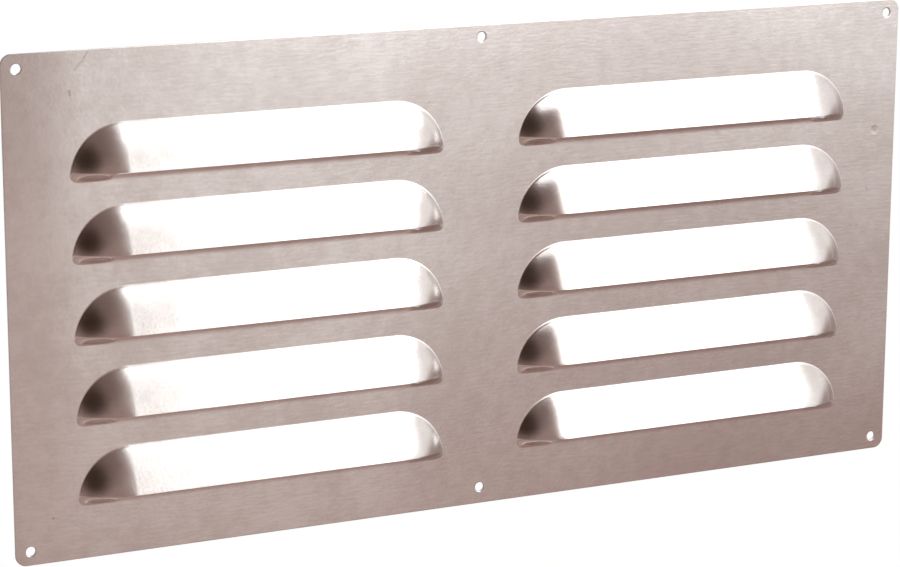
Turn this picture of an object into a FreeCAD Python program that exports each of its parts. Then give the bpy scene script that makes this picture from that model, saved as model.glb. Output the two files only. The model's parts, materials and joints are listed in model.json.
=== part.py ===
import FreeCAD, Part
import math
import os

import Sketcher

# Louvred ventilation panel, pressed from one flat sheet of bright metal.
# X runs along the panel, Z up it, and the louvres stand out towards -Y.
# The origin is the centre of the back face, which lies against the wall at Y = 0.
# A louvre is the sheet between the two halves of a press tool: an outer form that stands
# on the front of the sheet, less an inner form that is one gauge smaller all round.

os.makedirs("parts", exist_ok=True)
doc = FreeCAD.newDocument("louvred_panel")
point = FreeCAD.Vector

# Driving sizes in millimetres, with angles in degrees: alias, value, what it is.
DRIVING_SIZES = (
    ("panel_width", 457, "overall length of the sheet"),
    ("panel_height", 229, "overall height of the sheet"),
    ("sheet_thickness", 1.0, "gauge of the sheet"),
    ("corner_radius", 5, "radius of the four sheet corners"),
    ("screw_hole_diameter", 4.5, "six screw holes"),
    ("hole_inset_side", 7, "corner holes to the short edges"),
    ("hole_inset_end", 6.5, "corner holes to the long edges"),
    ("centre_hole_top_inset", 5.5, "upper centre hole to the top edge"),
    ("centre_hole_bottom_inset", 8, "lower centre hole to the bottom edge"),
    ("louvre_rows", 5, "louvres in a column"),
    ("louvre_columns", 2, "columns of louvres"),
    ("row_pitch", 36.6, "mouth line to mouth line"),
    ("column_pitch", 218, "column centre to column centre"),
    ("first_mouth_drop", 57.2, "top edge to the first mouth line"),
    ("louvre_length", 180, "foot to foot along a louvre"),
    ("louvre_rise", 25, "mouth line to top foot, and radius of the round ends"),
    ("foot_radius", 8, "hollow bend where a louvre leaves the sheet"),
    ("louvre_slope", 26.2, "slope of a louvre from that bend to its free edge"),
    ("free_edge_height", 3.6, "mouth line to the free edge of a louvre"),
    ("lip_height", 1.6, "mouth line to the cut edge of the sheet below a louvre"),
    ("mouth_inset", 12, "end of a mouth to the end of its louvre"),
    ("end_wall_slope", 70, "slope of the short wall that closes the mouth past its ends"),
)

sizes = doc.addObject("Spreadsheet::Sheet", "sizes")
for row, (alias, value, meaning) in enumerate(DRIVING_SIZES, start=1):
    sizes.set(f"A{row}", meaning)
    sizes.set(f"B{row}", str(value))
    sizes.setAlias(f"B{row}", alias)
doc.recompute()

# Places and lengths that several features share, as expressions on the sheet of sizes.
FIRST_CENTRE = "(-(sizes.louvre_columns - 1) * sizes.column_pitch / 2)"
FIRST_MOUTH = "(sizes.panel_height / 2 - sizes.first_mouth_drop)"
HALF_STRAIGHT = "(sizes.louvre_length / 2 - sizes.louvre_rise)"
CLEARANCE = "sizes.louvre_rise"
WALL_SINE = "sin(sizes.end_wall_slope * 1deg)"
WALL_TANGENT = "tan(sizes.end_wall_slope * 1deg)"


def number(expression):
    """The present value of an expression."""
    value = sizes.evalExpression(expression)
    return float(getattr(value, "Value", value))


def origin_feature(body, role):
    """The body's own origin plane or axis with this role."""
    return next(item for item in body.Origin.OriginFeatures if item.Role == role)


def plane_sketch(body, name, role, offset_y="0", offset_z="0"):
    """A sketch on one of the body's origin planes, moved by expressions in its own axes."""
    sketch = body.newObject("Sketcher::SketchObject", name)
    sketch.AttachmentSupport = [(origin_feature(body, role), "")]
    sketch.MapMode = "FlatFace"
    sketch.setExpression("AttachmentOffset.Base.y", offset_y)
    sketch.setExpression("AttachmentOffset.Base.z", offset_z)
    return sketch


def join(sketch, kind, *places):
    """Add a constraint without a value."""
    sketch.addConstraint(Sketcher.Constraint(kind, *places))


def drive(sketch, kind, *places, by):
    """Add a dimension that follows an expression."""
    index = sketch.addConstraint(Sketcher.Constraint(kind, *places, number(by)))
    sketch.setExpression(f"Constraints[{index}]", by)


def pin(sketch, edge, end, x_by, y_by):
    """Hold one end of an edge, or its centre, at a place given by two expressions."""
    for kind, zero_axis, by in (("DistanceX", -2, x_by), ("DistanceY", -1, y_by)):
        value = number(by)
        if value > 0:
            drive(sketch, kind, -1, 1, edge, end, by=by)
        elif value < 0:
            drive(sketch, kind, edge, end, -1, 1, by=f"-({by})")
        else:
            join(sketch, "PointOnObject", edge, end, zero_axis)


def polygon(sketch, corners):
    """A closed outline of straight edges whose corners are pairs of expressions."""
    places = [point(number(x_by), number(y_by)) for x_by, y_by in corners]
    edges = []
    for start, finish in zip(places, places[1:] + places[:1]):
        edges.append(sketch.addGeometry(Part.LineSegment(start, finish)))
    for edge, following in zip(edges, edges[1:] + edges[:1]):
        join(sketch, "Coincident", edge, 2, following, 1)
    for edge, (x_by, y_by) in zip(edges, corners):
        pin(sketch, edge, 1, x_by, y_by)


def feature(body, kind, name, expressions=None, **settings):
    """Add a feature to a body, with some properties set and others tied to the sizes."""
    added = body.newObject(f"PartDesign::{kind}", name)
    for key, value in settings.items():
        setattr(added, key, value)
    for key, by in (expressions or {}).items():
        added.setExpression(key, by)
    return added


def sheet_outline(body):
    """The sheet: a rectangle about the origin with four equal round corners."""
    sketch = plane_sketch(body, "sheet_outline", "XZ_Plane")
    half_w = number("sizes.panel_width / 2")
    half_h = number("sizes.panel_height / 2")
    r = number("sizes.corner_radius")
    up = point(0, 0, 1)
    quarter = math.pi / 2
    edges = []
    corners = []
    for turn, (x, y) in enumerate(((1, -1), (1, 1), (-1, 1), (-1, -1))):
        centre = point(x * (half_w - r), y * (half_h - r))
        start = (turn - 1) * quarter
        corners.append(
            sketch.addGeometry(Part.ArcOfCircle(Part.Circle(centre, up, r), start, start + quarter))
        )
        edges.append(corners[-1])
        leave = centre + point(math.cos(start + quarter), math.sin(start + quarter)) * r
        along = point(-math.sin(start + quarter), math.cos(start + quarter))
        length = 2 * (half_w - r) if abs(along.x) > abs(along.y) else 2 * (half_h - r)
        edges.append(sketch.addGeometry(Part.LineSegment(leave, leave + along * length)))
    for edge, following in zip(edges, edges[1:] + edges[:1]):
        join(sketch, "Tangent", edge, 2, following, 1)
    right = edges[1]
    top = edges[3]
    join(sketch, "Vertical", right)
    join(sketch, "Horizontal", top)
    for corner in corners[1:]:
        join(sketch, "Equal", corner, corners[0])
    drive(sketch, "Radius", corners[0], by="sizes.corner_radius")
    pin(
        sketch,
        corners[1],
        3,
        "sizes.panel_width / 2 - sizes.corner_radius",
        "sizes.panel_height / 2 - sizes.corner_radius",
    )
    pin(
        sketch,
        corners[3],
        3,
        "sizes.corner_radius - sizes.panel_width / 2",
        "sizes.corner_radius - sizes.panel_height / 2",
    )
    return sketch


def screw_holes(body):
    """Six screw holes: one in each corner and one at the middle of each long edge."""
    sketch = plane_sketch(body, "screw_hole_outline", "XZ_Plane")
    side = "(sizes.panel_width / 2 - sizes.hole_inset_side)"
    end = "(sizes.panel_height / 2 - sizes.hole_inset_end)"
    first = None
    for x_by, y_by in (
        (f"-{side}", f"-{end}"),
        (side, f"-{end}"),
        (side, end),
        (f"-{side}", end),
        ("0", "sizes.panel_height / 2 - sizes.centre_hole_top_inset"),
        ("0", "sizes.centre_hole_bottom_inset - sizes.panel_height / 2"),
    ):
        centre = point(number(x_by), number(y_by))
        radius = number("sizes.screw_hole_diameter / 2")
        hole = sketch.addGeometry(Part.Circle(centre, point(0, 0, 1), radius))
        pin(sketch, hole, 3, x_by, y_by)
        if first is None:
            first = hole
            drive(sketch, "Diameter", hole, by="sizes.screw_hole_diameter")
        else:
            join(sketch, "Equal", hole, first)
    return sketch


def louvre_section(body, name, centre, depth):
    """Section across a louvre, filled down to half way through the sheet or past it.

    Local x is Y. Local y is the height above the mouth line, which is also the axis that
    the ends turn about. depth is 0 for the front of the sheet and 1 for its back.
    """
    sketch = plane_sketch(body, name, "YZ_Plane", FIRST_MOUTH, centre)
    face_by = f"({depth - 1} * sizes.sheet_thickness)"
    root_by = f"({depth - 0.5} * sizes.sheet_thickness)"
    foot_by = f"(sizes.foot_radius + {depth} * sizes.sheet_thickness)"
    rise = number("sizes.louvre_rise")
    slope = math.radians(number("sizes.louvre_slope"))
    face, root, foot = (number(by) for by in (face_by, root_by, foot_by))
    foot_centre = point(face - foot, rise)
    bend_end = foot_centre + point(math.cos(slope), -math.sin(slope)) * foot
    hood_end = point(bend_end.x - bend_end.y * math.tan(slope), 0)

    base = sketch.addGeometry(Part.LineSegment(point(root, 0), point(root, rise)))
    shoulder = sketch.addGeometry(Part.LineSegment(point(root, rise), point(face, rise)))
    bend = sketch.addGeometry(
        Part.ArcOfCircle(Part.Circle(foot_centre, point(0, 0, 1), foot), -slope, 0)
    )
    hood = sketch.addGeometry(Part.LineSegment(bend_end, hood_end))
    floor = sketch.addGeometry(Part.LineSegment(hood_end, point(root, 0)))
    join(sketch, "Coincident", base, 2, shoulder, 1)
    join(sketch, "Coincident", shoulder, 2, bend, 2)
    join(sketch, "Tangent", bend, 1, hood, 1)
    join(sketch, "Coincident", hood, 2, floor, 1)
    join(sketch, "Coincident", floor, 2, base, 1)
    join(sketch, "Horizontal", floor)
    join(sketch, "Horizontal", shoulder)
    pin(sketch, base, 1, root_by, "0")
    pin(sketch, base, 2, root_by, "sizes.louvre_rise")
    pin(sketch, bend, 3, f"{face_by} - {foot_by}", "sizes.louvre_rise")
    drive(sketch, "Radius", bend, by=foot_by)
    angle = sketch.addConstraint(Sketcher.Constraint("Angle", floor, 1, hood, 2, math.pi / 2 - slope))
    sketch.setExpression(f"Constraints[{angle}]", "90 deg - sizes.louvre_slope * 1 deg")
    return sketch


def mouth_outline(body, name, start, depth, closed):
    """Outline of what a louvre form loses below its mouth.

    Where the mouth is closed, a short wall slopes out from the mouth line up to the level
    of the free edge. depth is 0 for the outside of the sheet and 1 for its inside.
    """
    sketch = plane_sketch(body, name, "YZ_Plane", FIRST_MOUTH, start)
    near_by = f"{2 * depth - 1} * sizes.sheet_thickness"
    far_by = f"(-{CLEARANCE} - sizes.sheet_thickness)"
    if closed:
        level_by = f"(sizes.free_edge_height + {depth} * sizes.sheet_thickness)"
        gauge_by = f"{depth} * sizes.sheet_thickness / {WALL_SINE}"
        wall = (
            (near_by, f"{gauge_by} - {2 * depth} * sizes.sheet_thickness / {WALL_TANGENT}"),
            (f"-sizes.sheet_thickness - ({level_by} - {gauge_by}) * {WALL_TANGENT}", level_by),
        )
    else:
        level_by = "sizes.lip_height" if depth else "sizes.free_edge_height"
        wall = ((near_by, level_by),)
    polygon(sketch, (*wall, (far_by, level_by), (far_by, f"-{CLEARANCE}"), (near_by, f"-{CLEARANCE}")))
    return sketch


def louvre_form(name, depth):
    """The solid inside one side of the sheet, for every louvre. depth is as above.

    The straight part is padded and the ends are turned about the mouth line. Then what is
    below the mouth comes off, in one piece for the open mouth and one past each end of it.
    """
    body = doc.addObject("PartDesign::Body", name)
    left = louvre_section(body, f"{name}_left_section", f"{FIRST_CENTRE} - {HALF_STRAIGHT}", depth)
    right = louvre_section(body, f"{name}_right_section", f"{FIRST_CENTRE} + {HALF_STRAIGHT}", depth)
    feature(
        body,
        "Pad",
        f"{name}_straight",
        {"Length": f"2 * {HALF_STRAIGHT}"},
        Profile=(left, [""]),
    )
    for side, section, reversed_turn in (("left", left, True), ("right", right, False)):
        feature(
            body,
            "Revolution",
            f"{name}_{side}_end",
            Profile=(section, [""]),
            ReferenceAxis=(section, ["H_Axis"]),
            Angle=90,
            Reversed=reversed_turn,
        )
    half = "sizes.louvre_length / 2"
    past_mouth = f"{CLEARANCE} + sizes.mouth_inset"
    for span, start, length, closed in (
        ("left", f"{FIRST_CENTRE} - {half} - {CLEARANCE}", past_mouth, True),
        ("open", f"{FIRST_CENTRE} - {half} + sizes.mouth_inset", f"2 * ({half} - sizes.mouth_inset)", False),
        ("right", f"{FIRST_CENTRE} + {half} - sizes.mouth_inset", past_mouth, True),
    ):
        outline = mouth_outline(body, f"{name}_{span}_outline", start, depth, closed)
        finished = feature(
            body,
            "Pocket",
            f"{name}_{span}_mouth",
            {"Length": length},
            Profile=(outline, [""]),
            Reversed=True,
        )
    body.Tip = feature(
        body,
        "LinearPattern",
        f"{name}_array",
        {
            "Length": "(sizes.louvre_columns - 1) * sizes.column_pitch",
            "Occurrences": "sizes.louvre_columns",
            "Length2": "(sizes.louvre_rows - 1) * sizes.row_pitch",
            "Occurrences2": "sizes.louvre_rows",
        },
        BaseFeature=finished,
        TransformMode="Whole shape",
        Mode="Extent",
        Mode2="Extent",
        Direction=(origin_feature(body, "X_Axis"), [""]),
        Direction2=(origin_feature(body, "Z_Axis"), [""]),
        Reversed2=True,
    )
    return body


outer_forms = louvre_form("outer_forms", 0)
inner_forms = louvre_form("inner_forms", 1)

panel = doc.addObject("PartDesign::Body", "louvred_panel")
panel.Label = "louvred_panel"
feature(
    panel,
    "Pad",
    "sheet",
    {"Length": "sizes.sheet_thickness"},
    Profile=(sheet_outline(panel), [""]),
)
feature(
    panel,
    "Pocket",
    "screw_holes",
    Profile=(screw_holes(panel), [""]),
    Type="ThroughAll",
    Midplane=True,
)
feature(panel, "Boolean", "press_out", Type="Fuse", Group=[outer_forms])
opened = feature(panel, "Boolean", "hollow_out", Type="Cut", Group=[inner_forms])
panel.Tip = opened
doc.recompute()

for item in doc.Objects:
    if "Invalid" in item.State or "Error" in item.State:
        raise RuntimeError(f"{item.Name} did not build: {item.State}")
shape = panel.Shape
if shape.isNull() or not shape.isValid():
    raise RuntimeError("the panel's shape is not valid")
shape.exportStep(f"parts/{panel.Label}.step")
print(panel.Label, "solids", len(shape.Solids), "volume", round(shape.Volume, 1), shape.BoundBox)
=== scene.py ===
import json
import math

import bpy
from mathutils import Matrix, Vector
from mathutils.geometry import delaunay_2d_cdt


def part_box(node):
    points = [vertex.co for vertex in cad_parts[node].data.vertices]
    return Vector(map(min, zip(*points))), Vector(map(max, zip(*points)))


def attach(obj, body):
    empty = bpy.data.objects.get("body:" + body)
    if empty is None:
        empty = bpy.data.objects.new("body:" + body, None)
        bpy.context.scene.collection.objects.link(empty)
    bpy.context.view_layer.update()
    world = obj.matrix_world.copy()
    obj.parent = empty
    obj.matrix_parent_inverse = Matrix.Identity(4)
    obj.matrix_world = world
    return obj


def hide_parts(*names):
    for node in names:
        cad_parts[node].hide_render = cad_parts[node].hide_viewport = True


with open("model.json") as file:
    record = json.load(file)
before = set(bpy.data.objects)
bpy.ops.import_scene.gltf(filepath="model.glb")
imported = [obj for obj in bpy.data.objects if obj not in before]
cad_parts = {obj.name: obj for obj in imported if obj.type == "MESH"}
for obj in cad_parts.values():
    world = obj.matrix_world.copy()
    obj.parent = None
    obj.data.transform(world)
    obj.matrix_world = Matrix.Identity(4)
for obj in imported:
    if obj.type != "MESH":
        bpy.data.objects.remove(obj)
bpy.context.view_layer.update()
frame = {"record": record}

# The sheet, one piece of bright mill-finish aluminium, sheared to size with round corners and
# pierced for six screws. Plans are in millimetres from the panel's centre, x along it and z up
# it. Every outline is a list of plan points that the sheet's triangles keep to.
PANEL = "louvred_panel"
MILLIMETRE = 0.001
low, high = (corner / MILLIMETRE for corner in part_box(PANEL))
HALF_LENGTH = high.x
HALF_HEIGHT = high.z
GAUGE = 1.0
CORNER_RADIUS = 5.0
CORNER_STEPS = 14
EDGE_ROLL = 0.3
EDGE_DROP = 0.12
EDGE_TILT = 0.5
HOLE_ROLL = 0.45
HOLE_DROP = 0.1
HOLE_TILT = 0.7
HOLE_POINTS = 36

record = frame["record"]
mounts = {mount["name"]: mount for mount in record["mounts"]}


def arc(centre_x, centre_z, radius, start, end, steps):
    """Points on an arc, with angles in degrees from +x towards +z."""
    turns = (math.radians(start + (end - start) * step / steps) for step in range(steps + 1))
    return [
        (centre_x + radius * math.cos(turn), centre_z + radius * math.sin(turn))
        for turn in turns
    ]


def sheet_outline(inset):
    """The sheared outline, or a line that follows it at some distance inside."""
    radius = CORNER_RADIUS - inset
    across = HALF_LENGTH - CORNER_RADIUS
    up = HALF_HEIGHT - CORNER_RADIUS
    corners = ((across, up, 0), (-across, up, 90), (-across, -up, 180), (across, -up, 270))
    return [
        place
        for x, z, start in corners
        for place in arc(x, z, radius, start, start + 90, CORNER_STEPS)
    ]


def hole_outline(centre_x, centre_z, radius):
    """A closed circle, its last point one step short of its first."""
    last = 360 - 360 / HOLE_POINTS
    return arc(centre_x, centre_z, radius, 0, last, HOLE_POINTS - 1)


def screw_holes():
    """Centres and radius of the holes, from the record's two patterns of screws."""
    corner_dims = mounts["corner_holes"]["dims"]
    centre_dims = mounts["centre_holes"]["dims"]
    half_x = corner_dims["spacing_x_mm"] / 2
    half_z = corner_dims["spacing_y_mm"] / 2
    middle = mounts["centre_holes"]["pos_m"][2] / MILLIMETRE
    reach = centre_dims["spacing_y_mm"] / 2
    places = [(x, z) for x in (-half_x, half_x) for z in (-half_z, half_z)]
    return places + [(0, middle - reach), (0, middle + reach)], corner_dims["hole_r_mm"]


# The louvres. A press lances the sheet along each mouth and pushes the strip above it out into
# a hood: a tight hollow bend at the foot, a crown that flattens towards the free edge, domed
# ends, and past each end of the mouth a stretched wall that closes the hood down to the sheet.
# One louvre is worked out in plan, with its height over each point, and copied to all places.
LOUVRE_HALF = 90.0
LOUVRE_RISE = 25.0
STRAIGHT_HALF = LOUVRE_HALF - LOUVRE_RISE
STRAIGHT_STEPS = 20
EDGE_STEP = STRAIGHT_HALF / STRAIGHT_STEPS
END_STEPS = 30
HOOD_MARGIN = 0.06
HOOD_HEIGHT = -low.y - GAUGE - HOOD_MARGIN
TOP_BEND = 2.5
END_BEND = 1.1
TOP_FOOT_SLOPE = math.radians(37)
END_FOOT_SLOPE = math.radians(42)
TOP_EDGE_SLOPE = math.radians(11)
END_EDGE_SLOPE = math.radians(6)
END_TURN = (0.1, 1.3)
FREE_EDGE = 3.6
LIP = 1.6
LIP_RAISE = 0.35
LIP_REACH = 3.6
TEAR_START = 70.0
TEAR_END = 80.0
TEAR_STEPS = 16
TEAR_LEVEL = 0.6
WALL_FOOT = -0.9
WALL_TOP = 3.8
WALL_CORNER = 3.6
SKIRT = 3.0
SKIRT_STEPS = 30
THROAT_TO_MOUTH_LINE = 1.9
FOOT_RINGS = (0.25, 0.5, 0.75, 1, 1.3, 1.6, 2, 2.5, 3, 3.7, 4.5, 5.5, 6.5, 7.5, 8.5)
CROWN_RINGS = (10, 12, 14, 16, 18, 19.5, 20.7)
RINGS_ABOVE = 7.2
GRID_OVERLAP = 4.0
FREE_EDGE_MARGIN = 0.3
FOOT_MARGIN = 0.15
SLOT_MARGIN = 0.25
GRID_BELOW = 7.0
GRID_START = (61.2, -2.5)
GRID_PITCH = (0.49, 0.42)
GRID_COUNT = (59, 23)
LIP_LEVELS = (-2.4, -1.8, -1.2, -0.6, -0.1, 0.4, 0.8, 1.2)


def smoothstep(low_end, high_end, value):
    """0 below low_end and 1 above high_end, smooth between."""
    part = min(max((value - low_end) / (high_end - low_end), 0.0), 1.0)
    return part * part * (3 - 2 * part)


def crowned_height(inward, bend, foot_slope, edge_slope):
    """Height of a hollow bend and then a crown, at some distance in from the foot."""
    reach = bend * math.sin(foot_slope)
    if inward < reach:
        return bend - math.sqrt(bend**2 - inward**2)
    crown = (LOUVRE_RISE - FREE_EDGE - reach) / (math.sin(foot_slope) - math.sin(edge_slope))
    slope = math.asin(math.sin(foot_slope) - (inward - reach) / crown)
    return bend * (1 - math.cos(foot_slope)) + crown * (math.cos(slope) - math.cos(foot_slope))


def hood_height(x, z):
    """Height of the pressed hood over the front of the sheet. Its ends are fuller than its top."""
    past_straight = max(abs(x) - STRAIGHT_HALF, 0.0)
    inward = LOUVRE_RISE - math.hypot(past_straight, z)
    if inward <= 0:
        return 0.0
    end = smoothstep(*END_TURN, math.atan2(past_straight, max(z, 0.0)))
    bend = TOP_BEND + (END_BEND - TOP_BEND) * end
    foot_slope = TOP_FOOT_SLOPE + (END_FOOT_SLOPE - TOP_FOOT_SLOPE) * end
    edge_slope = TOP_EDGE_SLOPE + (END_EDGE_SLOPE - TOP_EDGE_SLOPE) * end
    full = crowned_height(LOUVRE_RISE - FREE_EDGE, bend, foot_slope, edge_slope)
    return crowned_height(inward, bend, foot_slope, edge_slope) * HOOD_HEIGHT / full


def closed_height(x, z):
    """Height where the end wall closes the hood. The wall's foot line turns up at the corner."""
    past_corner = max(abs(x) - LOUVRE_HALF + WALL_CORNER, 0.0)
    corner = WALL_CORNER - math.sqrt(max(WALL_CORNER**2 - past_corner**2, 0.0))
    return hood_height(x, max(z, 0.0)) * smoothstep(WALL_FOOT + corner, WALL_TOP + corner / 2, z)


def slot_edges(x):
    """Lower and upper edge of the slot in plan. They meet in a point where the tear ends."""
    opening = 1 - smoothstep(TEAR_START, TEAR_END, abs(x))
    lower = TEAR_LEVEL + (LIP - TEAR_LEVEL) * opening
    upper = TEAR_LEVEL + (FREE_EDGE - TEAR_LEVEL) * opening
    return lower, upper


def louvre_height(x, z, above_slot):
    """Height of the front of the sheet near a louvre, on one side of its slot or the other."""
    if abs(x) >= LOUVRE_HALF:
        return 0.0
    closing = smoothstep(TEAR_START, TEAR_END, abs(x))
    if above_slot:
        open_height = hood_height(x, z)
    else:
        open_height = LIP_RAISE * (max(z - LIP + LIP_REACH, 0.0) / LIP_REACH) ** 3
    return open_height * (1 - closing) + closed_height(x, z) * closing


def slot_outline():
    """The mouth in plan, all round."""
    tear = TEAR_END - TEAR_START
    steps = [TEAR_END - tear * step / TEAR_STEPS for step in range(TEAR_STEPS + 1)]
    steps += [STRAIGHT_HALF - EDGE_STEP * step for step in range(STRAIGHT_STEPS + 1)]
    rightwards = [-x for x in steps] + steps[-2::-1]
    lower = [(x, slot_edges(x)[0]) for x in rightwards]
    upper = [(x, slot_edges(x)[1]) for x in rightwards]
    return upper + lower[-2:0:-1]


def louvre_outline(inward=0.0):
    """The hood's foot in plan, from its left corner over the top to its right corner."""
    radius = LOUVRE_RISE - inward
    runs = [(-STRAIGHT_HALF + 2 * EDGE_STEP * step, radius) for step in range(1, STRAIGHT_STEPS)]
    left = arc(-STRAIGHT_HALF, 0, radius, 180, 90, END_STEPS)
    right = arc(STRAIGHT_HALF, 0, radius, 90, 0, END_STEPS)
    return left + runs + right


def louvre_border():
    """The line round one louvre: its foot, and a skirt of flat sheet below its mouth."""
    pitch = 2 * LOUVRE_HALF / SKIRT_STEPS
    skirt = [(LOUVRE_HALF - pitch * step, -SKIRT) for step in range(SKIRT_STEPS)]
    return louvre_outline() + skirt + [(-LOUVRE_HALF, -SKIRT)]


def triangulate(loops, loose, keeps):
    """Plan points and triangles that keep to closed loops, where a test keeps the triangle."""
    places = []
    edges = []
    for loop in loops:
        first = len(places)
        places += loop
        edges += [(first + i, first + (i + 1) % len(loop)) for i in range(len(loop))]
    points = [Vector(place) for place in places + loose]
    whole_plan = 0
    same_point = 1e-4
    made, _, faces, *_ = delaunay_2d_cdt(points, edges, [], whole_plan, same_point)
    kept = []
    for face in faces:
        middle = sum((made[i] for i in face), Vector((0, 0))) / len(face)
        if keeps(middle.x, middle.y):
            kept.append(tuple(face))
    return [(place.x, place.y) for place in made], kept


def near_slot(x, z, margin=0.0):
    """Whether a place lies in the slot, or within a margin of it."""
    lower, upper = slot_edges(x)
    return abs(x) < TEAR_END + margin and lower - margin < z < upper + margin


def louvre_plan():
    """One louvre in plan: rings inside its foot, and a fine grid round the ends of its mouth."""
    loose = []
    for inward in FOOT_RINGS + CROWN_RINGS:
        for x, z in louvre_outline(inward):
            clear_of_grid = z > FREE_EDGE + FREE_EDGE_MARGIN and abs(x) < STRAIGHT_HALF - GRID_OVERLAP
            if z > RINGS_ABOVE or clear_of_grid:
                loose.append((x, z))
    for column in range(GRID_COUNT[0]):
        for row in range(GRID_COUNT[1]):
            x = GRID_START[0] + GRID_PITCH[0] * column
            z = GRID_START[1] + GRID_PITCH[1] * row
            inward = LOUVRE_RISE - math.hypot(x - STRAIGHT_HALF, max(z, 0))
            if inward > FOOT_MARGIN and z < GRID_BELOW and not near_slot(x, z, SLOT_MARGIN):
                loose += [(x, z), (-x, z)]
    for step in range(1 - STRAIGHT_STEPS, STRAIGHT_STEPS):
        for z in LIP_LEVELS:
            loose.append((EDGE_STEP * step, z))
    return triangulate([louvre_border(), slot_outline()], loose, lambda x, z: not near_slot(x, z))


def inside_louvre(x, z):
    """Whether a place lies inside the line round one louvre."""
    if not -SKIRT < z < LOUVRE_RISE or abs(x) > LOUVRE_HALF:
        return False
    return z < 0 or math.hypot(max(abs(x) - STRAIGHT_HALF, 0.0), z) < LOUVRE_RISE


def pressed_sheet():
    """Vertices, faces and corner normals of the whole panel, front, back and cut edges."""
    hole_places, hole_radius = screw_holes()
    throats = [o["box_m"] for o in record["physics"]["openings"] if o["name"].endswith("throat")]
    mouths = []
    for near, far in throats:
        centre_x = (near[0] + far[0]) / 2 / MILLIMETRE
        mouths.append((centre_x, near[2] / MILLIMETRE - THROAT_TO_MOUTH_LINE))

    front = {}
    points = []
    normals = []
    triangles = []

    def vertex(x, z, height, slope_x, slope_z):
        """The number of a point on the front, which is made once for all that share it."""
        key = (round(x, 2), round(z, 2))
        if key not in front:
            front[key] = len(points)
            points.append(Vector((x, -GAUGE - height, z)))
            normals.append(Vector((-slope_x, -1, -slope_z)).normalized())
        return front[key]

    def in_flat(x, z):
        """Whether a place is on flat sheet, clear of every hole and louvre."""
        if any(math.hypot(x - cx, z - cz) < hole_radius for cx, cz in hole_places):
            return False
        return not any(inside_louvre(x - cx, z - cz) for cx, cz in mouths)

    loops = [sheet_outline(0), sheet_outline(EDGE_ROLL)]
    for cx, cz in hole_places:
        loops.append(hole_outline(cx, cz, hole_radius))
        loops.append(hole_outline(cx, cz, hole_radius + HOLE_ROLL))
    for cx, cz in mouths:
        loops.append([(cx + x, cz + z) for x, z in louvre_border()])
    places, faces = triangulate(loops, [], in_flat)

    def edge_distance(x, z):
        """How far a place lies inside the sheet's outline."""
        out_x = abs(x) - (HALF_LENGTH - CORNER_RADIUS)
        out_z = abs(z) - (HALF_HEIGHT - CORNER_RADIUS)
        if out_x > 0 and out_z > 0:
            return CORNER_RADIUS - math.hypot(out_x, out_z)
        return CORNER_RADIUS - max(out_x, out_z)

    def flat_vertex(x, z):
        """A point of the flat sheet, rolled over where it lies on the outline or a hole's edge."""
        if edge_distance(x, z) < EDGE_ROLL / 2:
            nearest_x = max(min(x, HALF_LENGTH - CORNER_RADIUS), CORNER_RADIUS - HALF_LENGTH)
            nearest_z = max(min(z, HALF_HEIGHT - CORNER_RADIUS), CORNER_RADIUS - HALF_HEIGHT)
            outward = Vector((x, z)) - Vector((nearest_x, nearest_z))
            slope = outward.normalized() * -EDGE_TILT
            return vertex(x, z, -EDGE_DROP, slope.x, slope.y)
        for cx, cz in hole_places:
            outward = Vector((x - cx, z - cz))
            if outward.length < hole_radius + HOLE_ROLL / 2:
                slope = outward.normalized() * HOLE_TILT
                return vertex(x, z, -HOLE_DROP, slope.x, slope.y)
        return vertex(x, z, 0, 0, 0)

    flat = [flat_vertex(x, z) for x, z in places]
    triangles += [tuple(flat[i] for i in face) for face in faces]
    flat_count = len(points)

    places, faces = louvre_plan()
    shaped = []
    probe = 0.02
    for x, z in places:
        above = z > sum(slot_edges(x)) / 2
        rise_x = louvre_height(x + probe, z, above) - louvre_height(x - probe, z, above)
        rise_z = louvre_height(x, z + probe, above) - louvre_height(x, z - probe, above)
        height = louvre_height(x, z, above)
        shaped.append((x, z, height, rise_x / probe / 2, rise_z / probe / 2))
    for cx, cz in mouths:
        ids = [vertex(cx + x, cz + z, height, sx, sz) for x, z, height, sx, sz in shaped]
        triangles += [tuple(ids[i] for i in face) for face in faces]

    # The back of the louvres is the front moved in by the gauge along its normals. The back of the
    # flat sheet lies on the wall, also behind a rolled edge.
    count = len(points)
    backs = [point - normal * GAUGE for point, normal in zip(points, normals)]
    for place in range(flat_count):
        backs[place] = Vector((points[place].x, 0, points[place].z))
    vertices = [point * MILLIMETRE for point in points + backs]
    faces = []
    corner_normals = []
    for a, b, c in triangles:
        across = (points[b] - points[a]).cross(points[c] - points[a])
        if across.y > 0:
            b, c = c, b
        faces.append((a, b, c))
        corner_normals += [normals[a], normals[b], normals[c]]
    sides = dict.fromkeys(side for a, b, c in faces for side in ((a, b), (b, c), (c, a)))
    for a, b, c in faces[:]:
        faces.append((count + a, count + c, count + b))
        corner_normals += [-normals[a], -normals[c], -normals[b]]

    # The cut edges join front and back wherever a side has no neighbour.
    rims = [(a, b) for a, b in sides if (b, a) not in sides]
    rim_normals = {}
    for a, b in rims:
        outward = (points[b] - points[a]).cross(normals[a]).normalized()
        for end in (a, b):
            rim_normals[end] = rim_normals.get(end, Vector((0, 0, 0))) + outward
    for a, b in rims:
        faces.append((b, a, count + a, count + b))
        corner_normals += [rim_normals[end].normalized() for end in (b, a, a, b)]
    return vertices, faces, corner_normals


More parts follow.
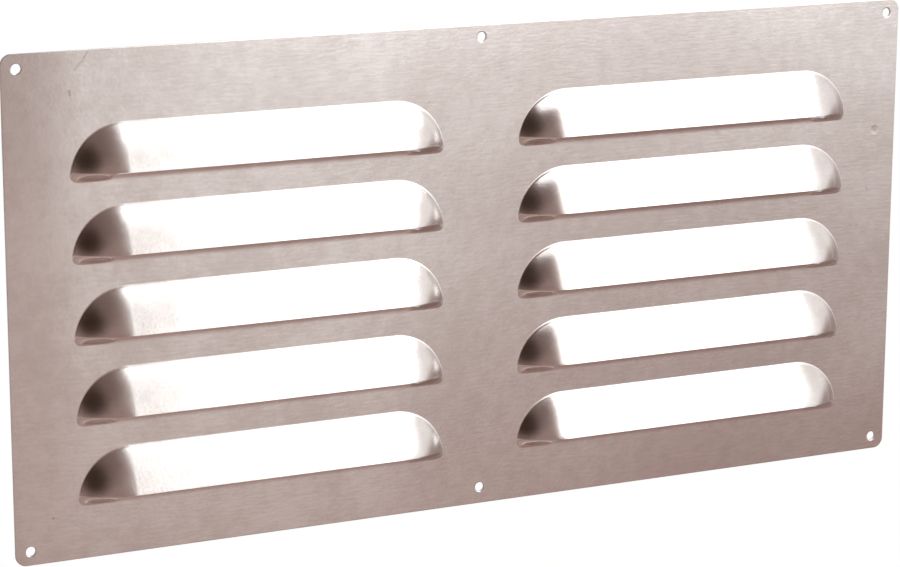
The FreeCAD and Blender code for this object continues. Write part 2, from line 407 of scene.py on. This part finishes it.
vertices, faces, corner_normals = pressed_sheet()
sheet_mesh = bpy.data.meshes.new("pressed_sheet")
sheet_mesh.from_pydata(vertices, [], faces)
sheet_mesh.polygons.foreach_set("use_smooth", [True] * len(faces))
sheet_mesh.normals_split_custom_set([tuple(normal) for normal in corner_normals])
sheet_mesh.update()
sheet = bpy.data.objects.new("pressed_sheet", sheet_mesh)
bpy.context.scene.collection.objects.link(sheet)


class Signal:
    """A socket of a node tree. Arithmetic on signals adds Math nodes."""

    def __init__(self, tree, socket=None):
        self.tree = tree
        self.socket = socket

    def node(self, kind, settings=None, inputs=None, output=0):
        """Add a node: first its settings, then the values or links of its sockets."""
        added = self.tree.nodes.new(kind)
        for name, value in (settings or {}).items():
            setattr(added, name, value)
        for name, value in (inputs or {}).items():
            if isinstance(value, Signal):
                self.tree.links.new(value.socket, added.inputs[name])
            else:
                added.inputs[name].default_value = value
        return Signal(self.tree, added.outputs[output] if len(added.outputs) else None)

    def math(self, operation, *values, clamp=False):
        settings = {"operation": operation, "use_clamp": clamp}
        return self.node("ShaderNodeMath", settings, dict(enumerate(values)))

    def __add__(self, other):
        return self.math("ADD", self, other)

    def __sub__(self, other):
        return self.math("SUBTRACT", self, other)

    def __rsub__(self, other):
        return self.math("SUBTRACT", other, self)

    def __mul__(self, other):
        return self.math("MULTIPLY", self, other)

    __radd__ = __add__
    __rmul__ = __mul__

    def ramp(self, low_end, high_end):
        """0 below low_end and 1 above high_end, smooth between."""
        settings = {"interpolation_type": "SMOOTHSTEP"}
        return self.node(
            "ShaderNodeMapRange", settings, {"Value": self, "From Min": low_end, "From Max": high_end}
        )

    def mix(self, first, second):
        """A colour between two, by this signal."""
        return self.node("ShaderNodeMix", {"data_type": "RGBA"}, {0: self, 6: first, 7: second}, 2)


def new_material(name):
    """A material with an empty tree, and the signal that its nodes start from."""
    material = bpy.data.materials.new(name)
    material.use_nodes = True
    material.node_tree.nodes.clear()
    return material, Signal(material.node_tree)


# The finish is the mill's own: rolled bright, with a grain along the sheet, cloudy patches of
# higher and lower polish, a slight bow towards its left edge, and a dent and a few marks from
# handling. A mark has two ends in plan, a half width and a darkness.
METAL_COLOUR = (0.80, 0.785, 0.775, 1)
METAL_DULL = (0.71, 0.68, 0.66, 1)
MARK_COLOUR = (0.30, 0.23, 0.20, 1)
MARKS = (
    ((-198.1, 97.0), (-197.8, 95.0), 0.7, 0.45),
    ((-189.5, 113.5), (-191.5, 110.0), 0.7, 0.25),
    ((-191.5, 110.0), (-195.5, 106.0), 0.7, 0.2),
    ((-210.8, -94.0), (-210.5, -94.0), 0.4, 0.8),
    ((-26.6, 80.5), (-26.4, 80.5), 0.4, 0.7),
    ((216.4, 50.5), (217.6, 50.0), 0.9, 0.5),
    ((213.2, 21.0), (213.9, 20.2), 0.6, 0.5),
    ((208.0, 2.6), (209.0, 2.1), 0.6, 0.4),
)
DENT = (217.0, 50.0)
DENT_SIZE = 2.6
DENT_DEPTH = 0.00005
BOW_REACH = 36.0
BOW_DEPTH = 0.0013
WAVE_DEPTH = 0.002
WAVE_STRENGTH = 0.45
GRAIN_DEPTH = 0.0002
GRAIN_STRENGTH = 0.16
GRAIN_SCALE = (120, 120, 700)
ROUGHNESS = 0.17
DULLNESS = (0.38, 0.62)

aluminium, start = new_material("mill_finish_aluminium")
place = start.node("ShaderNodeTexCoord", output="Object")
across = start.node("ShaderNodeSeparateXYZ", None, {0: place}, "X") * (1 / MILLIMETRE)
up = start.node("ShaderNodeSeparateXYZ", None, {0: place}, "Z") * (1 / MILLIMETRE)


def mark(first, last, width, darkness):
    """A short scratch between two places on the sheet: its darkness on its line, 0 beside it."""
    run = Vector(last) - Vector(first)
    from_x = across - first[0]
    from_z = up - first[1]
    along = start.math("MULTIPLY", from_x * run.x + from_z * run.y, 1 / run.length_squared, clamp=True)
    off_x = from_x - along * run.x
    off_z = from_z - along * run.y
    return darkness * (1 - (off_x * off_x + off_z * off_z).ramp(0.0, width**2))


def noise(scale, detail, at):
    return start.node("ShaderNodeTexNoise", None, {"Vector": at, "Scale": scale, "Detail": detail})


def bump(height, strength, distance, under=None):
    """Relief by a height signal, over flat metal or over another relief."""
    inputs = {"Strength": strength, "Distance": distance, "Height": height}
    if under:
        inputs["Normal"] = under
    return start.node("ShaderNodeBump", None, inputs)


stretched = start.node("ShaderNodeVectorMath", {"operation": "MULTIPLY"}, {0: place, 1: GRAIN_SCALE})
grain = noise(1.0, 4.0, stretched)
clouds = noise(22.0, 3.0, place)
patches = noise(130.0, 3.0, place)
speckle = noise(700.0, 2.0, place)
waves = noise(9.0, 1.0, place)
marks = mark(*MARKS[0])
for places in MARKS[1:]:
    marks = marks.math("MAXIMUM", marks, mark(*places))
roughness = ROUGHNESS + 0.08 * clouds + 0.06 * (grain - 0.5) + 0.25 * marks
dent_x = across - DENT[0]
dent_z = up - DENT[1]
dent = 1 - (dent_x * dent_x + dent_z * dent_z).ramp(0.0, DENT_SIZE**2)
bow = (0 - across).ramp(HALF_LENGTH - BOW_REACH, HALF_LENGTH + BOW_REACH)
bowed = bump(1 - bow, 1.0, BOW_DEPTH)
wavy = bump(waves, WAVE_STRENGTH, WAVE_DEPTH, bowed)
dented = bump(1 - dent, 1.0, DENT_DEPTH, wavy)
relief = bump(grain * 0.6 + speckle * 0.4, GRAIN_STRENGTH, GRAIN_DEPTH, dented)
dullness = clouds * 0.45 + patches * 0.3 + grain * 0.1 + speckle * 0.15
rolled = dullness.ramp(*DULLNESS).mix(METAL_COLOUR, METAL_DULL)
surface = start.node(
    "ShaderNodeBsdfPrincipled",
    None,
    {
        "Base Color": marks.mix(rolled, MARK_COLOUR),
        "Metallic": 1.0,
        "Roughness": roughness,
        "Normal": relief,
    },
)
start.node("ShaderNodeOutputMaterial", None, {"Surface": surface})
sheet_mesh.materials.append(aluminium)
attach(sheet, "root")
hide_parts(PANEL)

# The studio's floor, some way below the hanging panel: painted pale, and white to the camera
# further off. The metal sees through it to the room's own colours. Sizes are in metres.
FLOOR_DROP = 0.35
FLOOR_REACH = 6.0
FLOOR_WHITE_FROM = 0.5
FLOOR_WHITE_BEYOND = 1.1
FLOOR_COLOUR = (0.80, 0.77, 0.75, 1)
WHITE = (1, 1, 1, 1)

floor_mesh = bpy.data.meshes.new("floor")
floor_level = low.z * MILLIMETRE - FLOOR_DROP
floor_signs = ((-1, -1), (1, -1), (1, 1), (-1, 1))
floor_corners = [(x * FLOOR_REACH, y * FLOOR_REACH, floor_level) for x, y in floor_signs]
floor_mesh.from_pydata(floor_corners, [], [(0, 1, 2, 3)])
floor = bpy.data.objects.new("floor", floor_mesh)
bpy.context.scene.collection.objects.link(floor)
floor_paint, start = new_material("floor_paint")
diffuse = start.node("ShaderNodeBsdfDiffuse", None, {"Color": FLOOR_COLOUR})
white = start.node("ShaderNodeEmission", None, {"Color": WHITE, "Strength": 1.0})
clear = start.node("ShaderNodeBsdfTransparent")
place = start.node("ShaderNodeTexCoord", output="Object")
distance = start.node("ShaderNodeVectorMath", {"operation": "LENGTH"}, {0: place}, "Value")
to_camera = start.node("ShaderNodeLightPath", output="Is Camera Ray")
mirrored = start.node("ShaderNodeLightPath", output="Is Glossy Ray")
far = to_camera * distance.ramp(FLOOR_WHITE_FROM, FLOOR_WHITE_BEYOND)
mixed = start.node("ShaderNodeMixShader", None, {0: far, 1: diffuse, 2: white})
mixed = start.node("ShaderNodeMixShader", None, {0: mirrored, 1: mixed, 2: clear})
start.node("ShaderNodeOutputMaterial", None, {"Surface": mixed})
floor_mesh.materials.append(floor_paint)

# The room, as the metal mirrors it: brown low down, bright higher up towards the softbox, brown
# on the left with a dark place beside the camera, and pale on the right. The camera itself sees
# it white. Angles are in degrees from straight in front of the panel, and from level.
ROOM_LOW = (0.48, 0.335, 0.295, 1)
ROOM_LOW_RIGHT = (0.31, 0.185, 0.16, 1)
ROOM_BRIGHT = (1.25, 1.23, 1.21, 1)
ROOM_LEFT = (0.34, 0.23, 0.205, 1)
ROOM_LEFT_BAND = (0.62, 0.49, 0.45, 1)
ROOM_DIM = (0.19, 0.125, 0.11, 1)
ROOM_DARK = (0.035, 0.018, 0.012, 1)
ROOM_RIGHT = (1.02, 0.95, 0.93, 1)
ROOM_CORNER = (0.36, 0.26, 0.235, 1)
ROOM_UNDER = (0.72, 0.60, 0.56, 1)
ROOM_BEHIND_LOW = (0.46, 0.39, 0.37, 1)
ROOM_BEHIND = (0.95, 0.92, 0.91, 1)

# A side is a turn to the right, and how far it is blurred before and after. A rise is from where
# to where. A spot is a turn and a rise, how far its rim reaches, and how far its even middle does.
# Behind the panel, the two limits are parts of the whole height and depth.
LEFT_SIDE = (17.7, 2.3, 2.3)
RIGHT_SIDE = (24.3, 2.2, 2.2)
LOW_RIGHT_SIDE = (28, 6, 5)
FAR_RIGHT_SIDE = (31, 3, 3)
PALE_SIDE = (55, 10, 8)
LEFT_LIGHT_RISE = (-23.5, -5.5)
RIGHT_LIGHT_RISE = (-18.5, 1)
RIGHT_LIGHT = 0.57
FAR_RIGHT_LIGHT = 0.50
PALE_RISE = (-34, -18)
LEFT_FLOOR_RISE = (-40, -22)
BAND_START = (-22, -16)
BAND_END = (-13.5, -9)
UNDER_RISE = (-85, -72)
CORNER_SPOT = (84, -14, 26, 8)
DIM_SPOT = (-24, 40, 33, 6)
DARK_SPOT = (-45, 20, 31, 7)
BEHIND_RISE = (-0.45, 0.35)
BEHIND_FROM = (-0.05, 0.25)

world = bpy.data.worlds.new("studio")
bpy.context.scene.world = world
world.use_nodes = True
world.node_tree.nodes.clear()
start = Signal(world.node_tree)
direction = start.node("ShaderNodeTexCoord", output="Generated")
height = start.node("ShaderNodeSeparateXYZ", None, {0: direction}, "Z")
depth = start.node("ShaderNodeSeparateXYZ", None, {0: direction}, "Y")


def heading(turn, rise):
    """A direction in front of the panel, by its turn to the right and its rise, in degrees."""
    turn = math.radians(turn)
    rise = math.radians(rise)
    return Vector((math.sin(turn) * math.cos(rise), -math.cos(turn) * math.cos(rise), math.sin(rise)))


def toward(axis):
    """How far the view direction points along an axis, from -1 to 1."""
    inputs = {0: direction, 1: axis}
    return start.node("ShaderNodeVectorMath", {"operation": "DOT_PRODUCT"}, inputs, "Value")


def sine(angle):
    return math.sin(math.radians(angle))


def right_of(turn, before, after):
    """0 on the left of a side and 1 on its right."""
    return toward(heading(90 + turn, 0)).ramp(sine(-before), sine(after))


def higher(start_rise, end_rise):
    """0 below a rise and 1 over it."""
    return height.ramp(sine(start_rise), sine(end_rise))


def around(turn, rise, rim, middle):
    """1 in the middle of a spot and 0 beyond its rim."""
    return toward(heading(turn, rise)).ramp(sine(90 - rim), sine(90 - middle))


left_light = higher(*LEFT_LIGHT_RISE)
right_light = (RIGHT_LIGHT + FAR_RIGHT_LIGHT * right_of(*FAR_RIGHT_SIDE)) * higher(*RIGHT_LIGHT_RISE)
light = left_light + right_of(*RIGHT_SIDE) * (right_light - left_light)
room = light.mix(right_of(*LOW_RIGHT_SIDE).mix(ROOM_LOW, ROOM_LOW_RIGHT), ROOM_BRIGHT)
room = right_of(*PALE_SIDE).mix(room, higher(*PALE_RISE).mix(ROOM_CORNER, ROOM_RIGHT))
room = around(*CORNER_SPOT).mix(room, ROOM_CORNER)
past_left = right_of(*LEFT_SIDE)
past_left = past_left.math("MAXIMUM", past_left, 1 - higher(*LEFT_FLOOR_RISE))
band = higher(*BAND_START) * (1 - higher(*BAND_END))
room = past_left.mix(band.mix(ROOM_LEFT, ROOM_LEFT_BAND), room)
room = around(*DIM_SPOT).mix(room, ROOM_DIM)
room = around(*DARK_SPOT).mix(room, ROOM_DARK)
room = higher(*UNDER_RISE).mix(ROOM_UNDER, room)
behind = height.ramp(*BEHIND_RISE).mix(ROOM_BEHIND_LOW, ROOM_BEHIND)
room = depth.ramp(*BEHIND_FROM).mix(room, behind)
to_camera = start.node("ShaderNodeLightPath", output="Is Camera Ray")
seen = to_camera.mix(room, WHITE)
background = start.node("ShaderNodeBackground", None, {"Color": seen, "Strength": 1.0})
start.node("ShaderNodeOutputWorld", None, {"Surface": background})

# The lamps: a wide softbox that leans over the panel from the right, and a small one close over
# its top edge. Each is set by its lower left corner and its two edges from there.
SOFTBOXES = (
    ("side_softbox", (0.297, -1.371, 0.0), (0.83, 0.0, 0.0), (0.0, 0.79, 1.30)),
    ("top_softbox", (-0.084, -0.26, 0.325), (0.58, 0.0, 0.0), (0.0, 0.16, 0.06)),
)
SOFTBOX_RADIANCE = 1.5

for name, *edges in SOFTBOXES:
    corner, along, upward = (Vector(edge) for edge in edges)
    light = bpy.data.lights.new(name, "AREA")
    light.shape = "RECTANGLE"
    light.size = along.length
    light.size_y = upward.length
    light.energy = SOFTBOX_RADIANCE * math.pi * along.length * upward.length
    softbox = bpy.data.objects.new(name, light)
    bpy.context.scene.collection.objects.link(softbox)
    side = along.normalized()
    back = side.cross(upward).normalized()
    turn = Matrix((side, back.cross(side), back)).transposed().to_4x4()
    softbox.matrix_world = Matrix.Translation(corner + along / 2 + upward / 2) @ turn
    softbox.visible_camera = False

# The camera stands to the left of the panel and a little above it.
CAMERA_PLACE = Vector((-0.57867, -1.17820, 0.29427))
CAMERA_AIM = Vector((-0.01582, -0.001, -0.00574))
CAMERA_ROLL = 0.17
FOCAL_LENGTH = 114.99

camera_data = bpy.data.cameras.new("camera")
camera_data.lens = FOCAL_LENGTH
camera_data.sensor_width = 36
camera_data.sensor_fit = "HORIZONTAL"
camera_data.clip_end = 50
camera = bpy.data.objects.new("camera", camera_data)
bpy.context.scene.collection.objects.link(camera)
aimed = (CAMERA_AIM - CAMERA_PLACE).to_track_quat("-Z", "Y").to_matrix().to_4x4()
roll = Matrix.Rotation(math.radians(CAMERA_ROLL), 4, "Z")
camera.matrix_world = Matrix.Translation(CAMERA_PLACE) @ aimed @ roll
bpy.context.scene.camera = camera
bpy.context.scene.view_settings.view_transform = "Standard"
